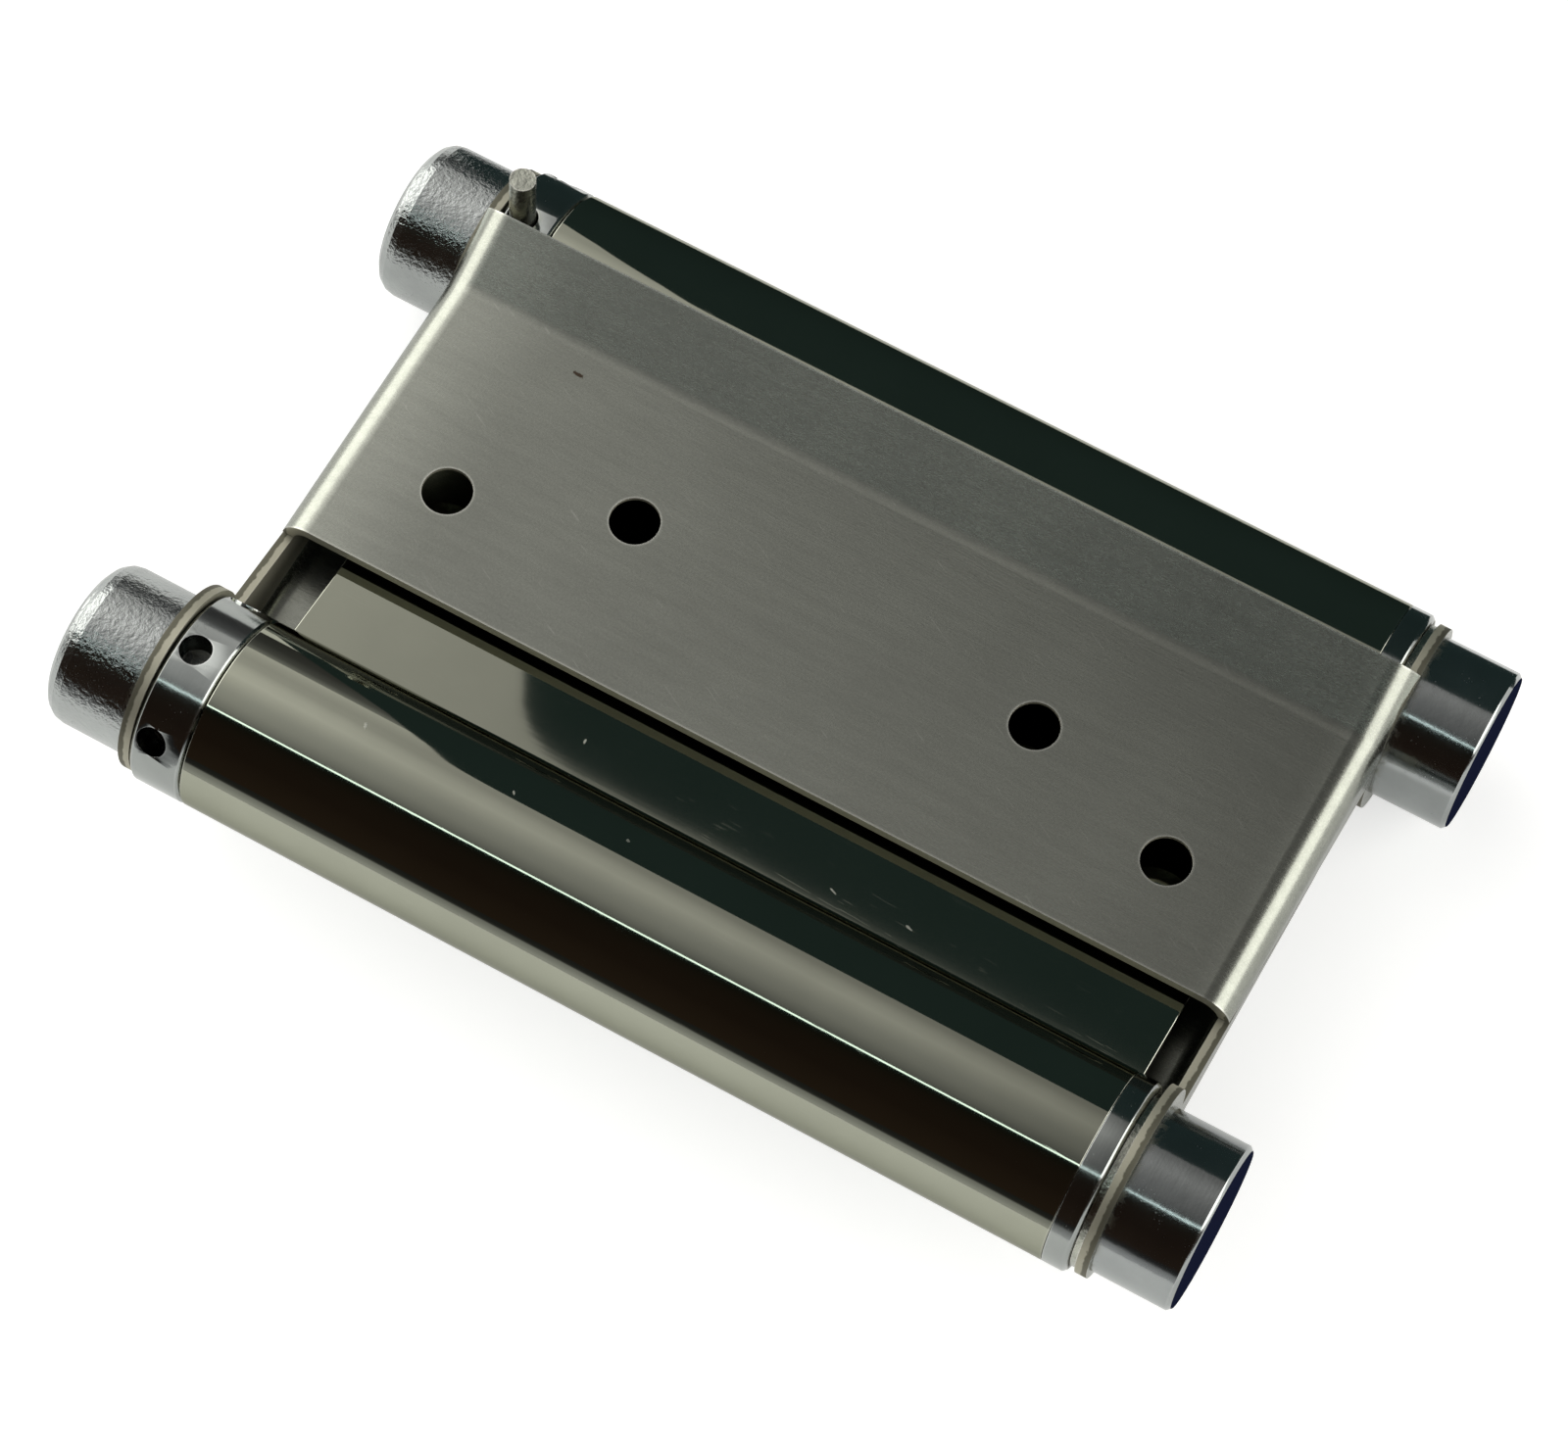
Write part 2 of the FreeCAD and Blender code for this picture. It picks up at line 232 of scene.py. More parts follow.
# %% Scratches group
scratches, given, wanted = new_group(
    "Stray scratches",
    [("Vector", vector, None), ("Turn", vector, (0.0, 0.0, 0.6)), ("Rarity", number, 0.68)],
    [("Mask", number)],
)
turned = add(scratches, "ShaderNodeVectorRotate", rotation_type="EULER_XYZ")
join(scratches, given.outputs["Vector"], turned.inputs["Vector"])
join(scratches, given.outputs["Turn"], turned.inputs["Rotation"])
long = add(scratches, "ShaderNodeVectorMath", operation="MULTIPLY")
long.inputs[1].default_value = (260.0, 7000.0, 7000.0)
join(scratches, turned.outputs[0], long.inputs[0])
ridge = add(scratches, "ShaderNodeTexNoise", {"Scale": 1.0, "Detail": 0.0})
join(scratches, long.outputs[0], ridge.inputs["Vector"])
keep = add(scratches, "ShaderNodeTexNoise", {"Scale": 420.0, "Detail": 1.0})
join(scratches, given.outputs["Vector"], keep.inputs["Vector"])
sharp = add(scratches, "ShaderNodeMapRange")
join(scratches, ridge.outputs["Fac"], sharp.inputs["Value"])
join(scratches, given.outputs["Rarity"], sharp.inputs["From Min"])
join(scratches, maths(scratches, "ADD", given.outputs["Rarity"], 0.06), sharp.inputs["From Max"])
kept = ramp(scratches, keep.outputs["Fac"], 0.5, 0.62)
join(scratches, maths(scratches, "MULTIPLY", sharp.outputs["Result"], kept), wanted.inputs["Mask"])
print("group", scratches.name)

# %% [markdown]
# ## Single nicks
#
# A few marks are plain enough to have a place of their own: a rust speck, or a dent in the polish. Each is a
# small ragged ellipse, so one group serves them all, with the place, the turn and the two radii as inputs.

# %% Nick group
nick, given, wanted = new_group(
    "Single nick",
    [
        ("Vector", vector, None),
        ("Place mm", vector, (0.0, 0.0, 0.0)),
        ("Turn", number, 0.0),
        ("Length mm", number, 1.0),
        ("Width mm", number, 0.3),
    ],
    [("Mask", number)],
)
in_mm = add(nick, "ShaderNodeVectorMath", operation="SCALE")
in_mm.inputs["Scale"].default_value = 1000.0
join(nick, given.outputs["Vector"], in_mm.inputs[0])
offset = add(nick, "ShaderNodeVectorMath", operation="SUBTRACT")
join(nick, in_mm.outputs[0], offset.inputs[0])
join(nick, given.outputs["Place mm"], offset.inputs[1])
turned = add(nick, "ShaderNodeVectorRotate", rotation_type="Z_AXIS")
join(nick, offset.outputs[0], turned.inputs["Vector"])
join(nick, given.outputs["Turn"], turned.inputs["Angle"])
split = add(nick, "ShaderNodeSeparateXYZ")
join(nick, turned.outputs[0], split.inputs[0])
lengthways = maths(nick, "POWER", maths(nick, "DIVIDE", split.outputs["X"], given.outputs["Length mm"]), 2.0)
widthways = maths(nick, "POWER", maths(nick, "DIVIDE", split.outputs["Y"], given.outputs["Width mm"]), 2.0)
height = maths(nick, "POWER", split.outputs["Z"], 2.0)
far = maths(nick, "SQRT", maths(nick, "ADD", maths(nick, "ADD", lengthways, widthways), height))
ragged = add(nick, "ShaderNodeTexNoise", {"Scale": 4.0, "Detail": 3.0})
join(nick, in_mm.outputs[0], ragged.inputs["Vector"])
rim = maths(nick, "MULTIPLY_ADD", ragged.outputs["Fac"], 1.6, far)
join(nick, ramp(nick, rim, 1.9, 1.55), wanted.inputs["Mask"])
print("group", nick.name)

# %% [markdown]
# ## Clouds, and worn edges
#
# Handling leaves a film of uneven thickness, which shows as soft clouds of tone and gloss. At the edges the
# finish is rubbed bright. The edge is found by comparing the true normal with one that is rounded over a
# short radius: where they differ, there is an edge.

# %% Clouds group and edge group
clouds, given, wanted = new_group(
    "Clouds",
    [("Vector", vector, None), ("Size mm", number, 12.0), ("Strength", number, 0.2)],
    [("Factor", number)],
)
cloud = add(clouds, "ShaderNodeTexNoise", {"Detail": 4.0, "Roughness": 0.55})
join(clouds, given.outputs["Vector"], cloud.inputs["Vector"])
join(clouds, maths(clouds, "DIVIDE", 1000.0, given.outputs["Size mm"]), cloud.inputs["Scale"])
centred = maths(clouds, "SUBTRACT", cloud.outputs["Fac"], 0.5)
swing = maths(clouds, "MULTIPLY", centred, given.outputs["Strength"])
join(clouds, maths(clouds, "MULTIPLY_ADD", swing, 2.0, 1.0), wanted.inputs["Factor"])

edges, given, wanted = new_group("Worn edges", [("Radius mm", number, 0.3)], [("Mask", number)])
rounded = add(edges, "ShaderNodeBevel", samples=4)
join(edges, maths(edges, "MULTIPLY", given.outputs["Radius mm"], mm), rounded.inputs["Radius"])
true_normal = add(edges, "ShaderNodeNewGeometry")
likeness = add(edges, "ShaderNodeVectorMath", operation="DOT_PRODUCT")
join(edges, rounded.outputs["Normal"], likeness.inputs[0])
join(edges, true_normal.outputs["Normal"], likeness.inputs[1])
join(edges, ramp(edges, likeness.outputs["Value"], 0.995, 0.9), wanted.inputs["Mask"])
print("groups", clouds.name, "and", edges.name)

# %% [markdown]
# ## The start of a finish
#
# Each finish is a metal, so its colour is the colour of its reflection. One function makes the material
# and gives the constants: metallic, and the base values that a cell then changes with its own nodes. The
# others make a colour brighter or darker, lay one colour over another through a mask, and add relief.

# %% Finish helpers
def new_finish(name, colour, roughness):
    finish = bpy.data.materials.new(name)
    finish.use_nodes = True
    tree = finish.node_tree
    tree.nodes.clear()
    values = {"Base Color": (*colour, 1.0), "Metallic": 1.0, "Roughness": roughness}
    shader = add(tree, "ShaderNodeBsdfPrincipled", values)
    out = add(tree, "ShaderNodeOutputMaterial")
    join(tree, shader.outputs[0], out.inputs["Surface"])
    place = add(tree, "ShaderNodeTexCoord").outputs["Object"]
    return finish, tree, shader, place


def tint(tree, colour, factor):
    """The colour, brighter or darker by a factor that changes over the surface."""
    mixed = add(tree, "ShaderNodeVectorMath", operation="SCALE")
    mixed.inputs[0].default_value = colour
    join(tree, factor, mixed.inputs["Scale"])
    return mixed.outputs[0]


def blend_colour(tree, mask, start, end, share=1.0):
    """From one colour to another where the mask is one, as far as the share says."""
    if share < 1.0:
        mask = maths(tree, "MULTIPLY", mask, share)
    mixed = add(tree, "ShaderNodeMix", data_type="RGBA")
    join(tree, mask, mixed.inputs["Factor"])
    for value, socket in ((start, mixed.inputs["A"]), (end, mixed.inputs["B"])):
        if isinstance(value, tuple):
            socket.default_value = (*value, 1.0)
        else:
            join(tree, value, socket)
    return mixed.outputs["Result"]


def bump(tree, shader, height, distance_mm, strength=1.0, under=None):
    """Relief from a height, over what lies under it. With a shader, it becomes the shader's normal."""
    made = add(tree, "ShaderNodeBump", {"Strength": strength, "Distance": distance_mm * mm})
    join(tree, height, made.inputs["Height"])
    if under is not None:
        join(tree, under, made.inputs["Normal"])
    if shader is not None:
        join(tree, made.outputs[0], shader.inputs["Normal"])
    return made.outputs[0]


# %% [markdown]
# ## Masks that follow the sheet's shape
#
# Where the sheet was cut, at the front edge, the holes, the flanges and the ears, the bare edge is matt and
# beige, and half of each flange's rim is torn and darker. The face's true normal tells an edge from the
# sheet's faces. Towards the two side bends the satin is painted lighter, a painted highlight that spreads the
# bends' own highlight, wider on the left. The inside of the fold is painted dark as painted shade, where
# ambient occlusion finds it shut in.

# %% Sheet masks
sheet_thickness = 0.98 * mm
leaf_middle = (leaf_low.x + leaf_high.x) / 2
flange_from = (leaf_high.x - leaf_low.x) / 2 - sheet_thickness
bend_start = 0.5 * mm
# how far the painted highlight reaches in from each side bend
left_highlight_reach = 12.0 * mm
right_highlight_reach = 4.5 * mm


def separated(tree, value):
    split = add(tree, "ShaderNodeSeparateXYZ")
    join(tree, value, split.inputs[0])
    return split.outputs


def cut_edges(tree, place):
    """One where the sheet is seen end on, and one on the torn outer half of the flanges' rims."""
    facing = add(tree, "ShaderNodeNewGeometry")
    spaces = {"convert_from": "WORLD", "convert_to": "OBJECT"}
    local = add(tree, "ShaderNodeVectorTransform", vector_type="NORMAL", **spaces)
    join(tree, facing.outputs["True Normal"], local.inputs[0])
    normal = separated(tree, local.outputs[0])
    not_sideways = maths(tree, "LESS_THAN", maths(tree, "ABSOLUTE", normal["X"]), 0.5)
    not_upright = maths(tree, "LESS_THAN", maths(tree, "ABSOLUTE", normal["Z"]), 0.5)
    offset_x = maths(tree, "SUBTRACT", separated(tree, place)["X"], leaf_middle)
    from_middle = maths(tree, "ABSOLUTE", offset_x)
    in_flange = maths(tree, "GREATER_THAN", from_middle, flange_from)
    rim = maths(tree, "MULTIPLY", in_flange, not_sideways)
    wall = maths(tree, "MULTIPLY", maths(tree, "SUBTRACT", 1.0, in_flange), not_upright)
    wobble = add(tree, "ShaderNodeTexNoise", {"Scale": 1500.0, "Detail": 3.0})
    join(tree, place, wobble.inputs["Vector"])
    depth = maths(tree, "DIVIDE", maths(tree, "SUBTRACT", from_middle, flange_from), sheet_thickness)
    depth = maths(tree, "MULTIPLY_ADD", wobble.outputs["Fac"], 0.5, depth)
    torn = maths(tree, "MULTIPLY", rim, ramp(tree, depth, 0.72, 0.86))
    return maths(tree, "MAXIMUM", rim, wall), torn


def painted_bend_highlight(tree, place):
    """A painted highlight: rises from nothing to one over the last millimetres before each side bend, wider
    on the left.
    """
    place_x = separated(tree, place)["X"]
    from_left = maths(tree, "SUBTRACT", place_x, leaf_low.x)
    from_right = maths(tree, "SUBTRACT", leaf_high.x, place_x)
    highlight_left = ramp(tree, from_left, left_highlight_reach, bend_start)
    highlight_right = ramp(tree, from_right, right_highlight_reach, bend_start)
    return maths(tree, "MAXIMUM", highlight_left, highlight_right)


def hidden(tree, reach_mm, low, high):
    """One where the surface is shut in by its neighbours, and nothing where it is open."""
    shut = add(tree, "ShaderNodeAmbientOcclusion", {"Distance": reach_mm * mm}, samples=4)
    return ramp(tree, maths(tree, "SUBTRACT", 1.0, shut.outputs["AO"]), low, high)


print("flanges start", round(flange_from / mm, 2), "mm from the leaf's middle")

# %% [markdown]
# ## Brushed sheet for the leaves
#
# The leaves are satin sheet: grey, slightly warm, with the belt's lines along their length. A rust speck, a
# few scratches and clouds of handling make it a used sheet and not a new one. The colour is built in layers,
# each laid over the last through its own mask, and the same masks then make the cut edges and the rust matt.

# %% Brushed sheet: colour
satin = (0.215, 0.222, 0.195)
rubbed_satin = (0.60, 0.60, 0.55)
scratched_satin = (0.50, 0.50, 0.46)
bare_edge = (0.52, 0.50, 0.40)
torn_edge = (0.15, 0.14, 0.10)
# painted shade for the inside of the fold
painted_fold_shade = (0.034, 0.032, 0.022)
rust_brown = (0.050, 0.030, 0.018)
plate_top_mm = 3.6
rust_place_mm = (-28.0, 14.8, plate_top_mm)

brushed, tree, shader, place = new_finish("brushed_sheet", satin, 0.3)
lines = place_group(tree, brushing, Vector=place, Lines_per_mm=7.0, Length=9.0)
film = place_group(tree, clouds, Vector=place, Size_mm=18.0, Strength=0.14)
fleck = place_group(tree, clouds, Vector=place, Size_mm=0.20, Strength=0.20)
tone = maths(tree, "MULTIPLY_ADD", maths(tree, "SUBTRACT", lines.outputs["Tone"], 1.0), 0.20, 1.0)
tone = maths(tree, "MULTIPLY", maths(tree, "MULTIPLY", tone, film.outputs["Factor"]), fleck.outputs["Factor"])
# painted highlight: the satin is painted lighter towards the side bends
tone = maths(tree, "MULTIPLY", tone, maths(tree, "MULTIPLY_ADD", painted_bend_highlight(tree, place), 0.45, 1.0))
worn = place_group(tree, edges, Radius_mm=0.35)
stray = place_group(tree, scratches, Vector=place, Turn=(0.0, 0.0, 0.5), Rarity=0.75)
colour = blend_colour(tree, worn.outputs["Mask"], tint(tree, satin, tone), rubbed_satin, share=0.75)
colour = blend_colour(tree, stray.outputs["Mask"], colour, scratched_satin, share=0.2)
cut, torn = cut_edges(tree, place)
colour = blend_colour(tree, cut, colour, blend_colour(tree, torn, bare_edge, torn_edge), share=0.85)
# painted shade: where ambient occlusion finds the sheet shut in, its colour is darkened
fold_shade_mask = hidden(tree, 9.0, 0.62, 0.95)
colour = blend_colour(tree, fold_shade_mask, colour, painted_fold_shade, share=0.75)
rust = place_group(
    tree, nick, Vector=place, Place_mm=rust_place_mm, Turn=0.15, Length_mm=0.5, Width_mm=0.2
)
colour = blend_colour(tree, rust.outputs["Mask"], colour, rust_brown, share=0.9)
join(tree, colour, shader.inputs["Base Color"])
print("finish", brushed.name, "has its colour")

# %% Brushed sheet: gloss and relief
gloss = maths(tree, "MULTIPLY_ADD", lines.outputs["Height"], 0.14, 0.19)
gloss = maths(tree, "MULTIPLY", gloss, film.outputs["Factor"])
gloss = maths(tree, "MULTIPLY_ADD", maths(tree, "MAXIMUM", rust.outputs["Mask"], cut), 0.35, gloss)
join(tree, maths(tree, "MULTIPLY_ADD", fold_shade_mask, 0.2, gloss, clamp=True), shader.inputs["Roughness"])
soft = bump(tree, None, fleck.outputs["Factor"], 0.02, 0.35)
bump(tree, shader, lines.outputs["Height"], 0.006, under=soft)
print("finish", brushed.name, "has", len(tree.nodes), "nodes")

# %% [markdown]
# ## Mirror-polished sheet for the web and barrels
#
# Polished sheet keeps a trace of the rolling mill: a very slight wave that bends the reflections, and hair
# scratches that only show in a highlight. Both are bump, far too shallow to be modelled. A few nicks have
# places of their own on the front barrel and the web, each with a turn, a length and a width.

# %% Polished sheet
mirror = (0.352, 0.362, 0.292)
nicks = (
    ((-24.6, -23.4, 11.8), 1.2, 0.35, 0.12),
    ((-12.0, -22.6, 11.6), 0.9, 0.22, 0.09),
    ((-11.6, -12.6, 2.5), 1.5, 0.25, 0.09),
    ((-2.6, -21.6, 11.3), 0.6, 0.2, 0.14),
    ((11.4, -14.2, 2.7), 0.4, 0.35, 0.07),
    ((18.0, -14.0, 2.7), 0.3, 0.4, 0.10),
)

polished, tree, shader, place = new_finish("polished_sheet", mirror, 0.045)
shader.inputs["Specular Tint"].default_value = (0.62, 0.62, 0.58, 1.0)
film = place_group(tree, clouds, Vector=place, Size_mm=9.0, Strength=0.10)
hair = place_group(tree, scratches, Vector=place, Turn=(0.0, 0.0, 0.06), Rarity=0.72)
marks = maths(tree, "MULTIPLY", hair.outputs["Mask"], 0.1)
for where, turn, length, width in nicks:
    chip = place_group(tree, nick, Vector=place, Place_mm=where, Turn=turn, Length_mm=length, Width_mm=width)
    marks = maths(tree, "MAXIMUM", marks, chip.outputs["Mask"])
worn = place_group(tree, edges, Radius_mm=0.25)
colour = tint(tree, mirror, film.outputs["Factor"])
colour = blend_colour(tree, worn.outputs["Mask"], colour, (0.60, 0.60, 0.55), share=0.8)
# painted shade: the mirror's colour darkens towards near black in recesses that ambient occlusion finds
colour = blend_colour(tree, hidden(tree, 2.5, 0.5, 0.85), colour, (0.03, 0.03, 0.022), share=0.35)
colour = blend_colour(tree, marks, colour, (0.60, 0.61, 0.56), share=0.45)
join(tree, colour, shader.inputs["Base Color"])
gloss = maths(tree, "MULTIPLY", film.outputs["Factor"], 0.045)
join(tree, maths(tree, "MULTIPLY_ADD", marks, 0.38, gloss), shader.inputs["Roughness"])
rolled = place_group(tree, brushing, Vector=place, Lines_per_mm=0.4, Length=14.0)
wave = bump(tree, None, rolled.outputs["Height"], 0.004, 0.3)
bump(tree, shader, marks, 0.004, 0.5, under=wave)
print("finish", polished.name, "with", len(nicks), "nicks")

# %% [markdown]
# ## Chrome for the collars and caps
#
# The collars and the right caps were turned and then plated: smooth, a little blue, with faint rings. The
# left caps are plated over a coarse blank, so their light breaks into grains. Grime has settled in the
# corners beside the ears, found by how much of the sky each point misses. Deep recesses such as the holes
# are painted near black as painted shade. The flat ends of the right caps are a dull dark blue: the mask
# takes their metal away.

# %% Chrome
axis_depth = rear_axis.y
axis_height = abs(rear_axis.z)
end_depth = 0.06 * mm
rubbed_chrome = (0.66, 0.67, 0.66)
dry_grime = (0.30, 0.285, 0.20)
# painted shade for deep recesses such as the holes
painted_recess_shade = (0.012, 0.011, 0.009)


def turned_rings(tree, place, rings_per_mm):
    axis = {"Axis_height": axis_height, "Axis_depth": axis_depth}
    return place_group(tree, turning, Vector=place, Rings_per_mm=rings_per_mm, **axis)


def noise_over(tree, place, scale, roughness=0.5):
    made = add(tree, "ShaderNodeTexNoise", {"Scale": scale, "Detail": 3.0, "Roughness": roughness})
    join(tree, place, made.inputs["Vector"])
    return made.outputs["Fac"]


def end_face(tree, place):
    """One on the flat outer end of a right cap."""
    return maths(tree, "GREATER_THAN", separated(tree, place)["X"], cad_box[1].x - end_depth)


def chrome(name, colour, roughness, grain_mm, grain_height, ring_height, end_colour=None):
    finish, tree, shader, place = new_finish(name, colour, roughness)
    film = place_group(tree, clouds, Vector=place, Size_mm=5.0, Strength=0.22)
    worn = place_group(tree, edges, Radius_mm=0.25)
    stray = place_group(tree, scratches, Vector=place, Turn=(0.7, 0.4, 0.9), Rarity=0.74)
    shade = tint(tree, colour, film.outputs["Factor"])
    shade = blend_colour(tree, worn.outputs["Mask"], shade, rubbed_chrome, share=0.6)
    dust = ramp(tree, noise_over(tree, place, 900.0), 0.42, 0.58)
    grime = maths(tree, "MULTIPLY", hidden(tree, 1.4, 0.28, 0.6), dust)
    shade = blend_colour(tree, grime, shade, dry_grime, share=0.8)
    # painted shade: deep recesses found by ambient occlusion are darkened to near black
    shade = blend_colour(tree, hidden(tree, 3.5, 0.62, 0.9), shade, painted_recess_shade, share=0.93)
    if end_colour is not None:
        # the flat end gets a dull dark blue colour and no metal
        dark_end = end_face(tree, place)
        shade = blend_colour(tree, dark_end, shade, end_colour)
        join(tree, maths(tree, "SUBTRACT", 1.0, dark_end), shader.inputs["Metallic"])
        shader.inputs["Specular IOR Level"].default_value = 0.0
    join(tree, shade, shader.inputs["Base Color"])
    rough = maths(tree, "MULTIPLY", film.outputs["Factor"], roughness)
    rough = maths(tree, "MULTIPLY_ADD", stray.outputs["Mask"], 0.2, rough)
    join(tree, maths(tree, "MULTIPLY_ADD", grime, 0.5, rough, clamp=True), shader.inputs["Roughness"])
    grain = bump(tree, None, noise_over(tree, place, 1000.0 / grain_mm, 0.6), grain_height)
    bump(tree, shader, turned_rings(tree, place, 5.0).outputs["Height"], ring_height, under=grain)
    print("finish", name)
    return finish


collar_chrome = chrome("collar_chrome", (0.34, 0.36, 0.345), 0.12, 2.2, 0.010, 0.0015)
cap_chrome = chrome(
    "cap_chrome", (0.36, 0.38, 0.375), 0.125, 1.6, 0.010, 0.0015, end_colour=(0.007, 0.009, 0.024)
)
rough_chrome = chrome("rough_chrome", (0.40, 0.42, 0.41), 0.16, 0.42, 0.07, 0.002)

# %% [markdown]
# ## Plain steel for pins, washers and springs
#
# What is hidden or only glimpsed is bare turned steel, and the springs are dark oiled wire. They are seen
# when a leaf swings open or a pin is drawn, so they get their own marks too: rings from the lathe, fine
# pits, and an uneven film.

# %% Plain steel and spring wire
def bare_steel(name, colour, roughness, ring_height, grit_height):
    finish, tree, shader, place = new_finish(name, colour, roughness)
    film = place_group(tree, clouds, Vector=place, Size_mm=0.9, Strength=0.5)
    worn = place_group(tree, edges, Radius_mm=0.2)
    shade = tint(tree, colour, film.outputs["Factor"])
    shade = blend_colour(tree, worn.outputs["Mask"], shade, (0.66, 0.65, 0.60))
    join(tree, shade, shader.inputs["Base Color"])
    rough = maths(tree, "MULTIPLY", film.outputs["Factor"], roughness, clamp=True)
    join(tree, rough, shader.inputs["Roughness"])
    pitted = bump(tree, None, noise_over(tree, place, 2600.0, 0.6), grit_height)
    bump(tree, shader, turned_rings(tree, place, 4.0).outputs["Height"], ring_height, under=pitted)
    print("finish", name)
    return finish


steel = bare_steel("steel", (0.42, 0.43, 0.37), 0.26, 0.004, 0.05)
wire = bare_steel("spring_steel", (0.20, 0.20, 0.205), 0.38, 0.006, 0.01)

# %% [markdown]
# ## Finishes and soft edges on the solids
#
# The record names a slot for each solid, so the finish goes on by name. No real edge is perfectly sharp, and
# the thin bright line along an edge is most of what makes metal look real. A Weld modifier closes the
# solid's loose triangles, a small Bevel rounds its sharp edges, and a Weighted Normal lets the large faces
# decide the shading, so that a barrel reflects as a true cylinder. The solid's own mesh stays as it is.

# %% Dress the solids
finishes = {
    "brushed_sheet": brushed,
    "polished_sheet": polished,
    "collar_chrome": collar_chrome,
    "cap_chrome": cap_chrome,
    "rough_chrome": rough_chrome,
    "steel": steel,
    "spring_steel": wire,
}
edge_width = {"brushed_sheet": 0.28, "polished_sheet": 0.12, "collar_chrome": 0.06, "cap_chrome": 0.1}
edge_angle = 38.0
weld_distance = 0.0005 * mm


def dress(node, slot):
    solid = nodes[node]
    solid.data.materials.clear()
    solid.data.materials.append(finishes[slot])
    if slot not in edge_width:
        return
    weld = solid.modifiers.new("weld", "WELD")
    weld.merge_threshold = weld_distance
    soft_edge = solid.modifiers.new("soft edge", "BEVEL")
    soft_edge.width = edge_width[slot] * mm
    soft_edge.segments = 2
    soft_edge.limit_method = "ANGLE"
    soft_edge.angle_limit = radians(edge_angle)
    solid.data.shade_smooth()
    shading = solid.modifiers.new("shading", "WEIGHTED_NORMAL")
    shading.mode = "FACE_AREA_WITH_ANGLE"


for part in frame["record"]["subparts"]:
    dress(part["node"], part["material_slot"])

# %% [markdown]
# ## The floor
#
# The hinge lies on a plain white sheet. Seen by the camera and in the metal, the floor is lifted to white by
# a little light of its own. It still takes the hinge's shadow, because the rest of its brightness is from
# the lamps.

# %% Flat planes round the hinge
def plane(name, corners, material, seen=True, lights=True):
    shape = bmesh.new()
    shape.faces.new([shape.verts.new(Vector(corner)) for corner in corners])
    mesh = bpy.data.meshes.new(name)
    shape.to_mesh(mesh)
    shape.free()
    made = bpy.data.objects.new(name, mesh)
    bpy.context.scene.collection.objects.link(made)
    made.data.materials.append(material)
    made.visible_camera = seen
    made.visible_diffuse = lights
    made.visible_shadow = lights
    return made


# %% Floor
paper_grey = (0.66, 0.66, 0.655, 1.0)
lift_seen = 0.54
lift_mirrored = 0.26
floor_half = 4.0
floor_gap = 0.02 * mm

paper = bpy.data.materials.new("floor_paper")
paper.use_nodes = True
tree = paper.node_tree
tree.nodes.clear()
path = add(tree, "ShaderNodeLightPath")
mirrored = maths(tree, "MAXIMUM", path.outputs["Is Glossy Ray"], path.outputs["Is Transmission Ray"])
mirrored = maths(tree, "MULTIPLY", mirrored, lift_mirrored)
matt = add(tree, "ShaderNodeBsdfDiffuse", {"Color": paper_grey})
lift = add(tree, "ShaderNodeEmission", {"Color": (1.0, 1.0, 1.0, 1.0)})
lifted = maths(tree, "MULTIPLY_ADD", path.outputs["Is Camera Ray"], lift_seen, mirrored)
join(tree, lifted, lift.inputs["Strength"])
both = add(tree, "ShaderNodeAddShader")
join(tree, matt.outputs[0], both.inputs[0])
join(tree, lift.outputs[0], both.inputs[1])
out = add(tree, "ShaderNodeOutputMaterial")
join(tree, both.outputs[0], out.inputs["Surface"])
floor_level = floor_height - floor_gap
signs = ((-1, -1), (1, -1), (1, 1), (-1, 1))
plane("floor", [(x * floor_half, y * floor_half, floor_level) for x, y in signs], paper)
print("floor at", round(floor_level / mm, 2), "mm")

# %% [markdown]
# ## Cards that glow
#
# A polished barrel is lit by what stands round it, so the light comes from large glowing cards. Each card
# has an emission whose colour can fade along one axis. Most cards run over the studio's whole width. The
# ceiling's tones and the strip lamp are placed by their angle over the front barrel, because each angle
# shows at one line of the barrel.

# %% Glow helpers
def glow(name, colour, strength):
    made = bpy.data.materials.new(name)
    made.use_nodes = True
    tree = made.node_tree
    tree.nodes.clear()
    light = add(tree, "ShaderNodeEmission", {"Color": (*colour, 1.0), "Strength": strength})
    out = add(tree, "ShaderNodeOutputMaterial")
    join(tree, light.outputs[0], out.inputs["Surface"])
    return made, tree, light


def fade(tree, light, axis, stops):
    """Colours at places along one axis, in metres, smoothly joined."""
    place = add(tree, "ShaderNodeTexCoord")
    split = separated(tree, place.outputs["Object"])
    start = stops[0][0]
    length = stops[-1][0] - start
    steps = add(tree, "ShaderNodeValToRGB")
    join(tree, maths(tree, "DIVIDE", maths(tree, "SUBTRACT", split[axis], start), length), steps.inputs[0])
    while len(steps.color_ramp.elements) < len(stops):
        steps.color_ramp.elements.new(0.5)
    for element, (where, colour) in zip(steps.color_ramp.elements, stops):
        element.position = (where - start) / length
        element.color = (*colour, 1.0)
    join(tree, steps.outputs["Color"], light.inputs["Color"])
    return split


def grey(level, warmth=0.0):
    return (level * (1.0 + warmth), level, level * (1.0 - warmth))


ceiling_height = 1.2
half_width = 1.6
back = 2.0


def over(angle):
    """How far back on the ceiling the front barrel sees this angle from straight up, towards the rear."""
    return front_axis.y + ceiling_height * tan(radians(angle))


def full_width(near, far):
    """The corners of a card over the whole width, from one (y, z) to another."""
    return [
        (-half_width, *near),
        (half_width, *near),
        (half_width, *far),
        (-half_width, *far),
    ]


print("straight over the front barrel is y", round(over(0) / mm, 1), "mm")

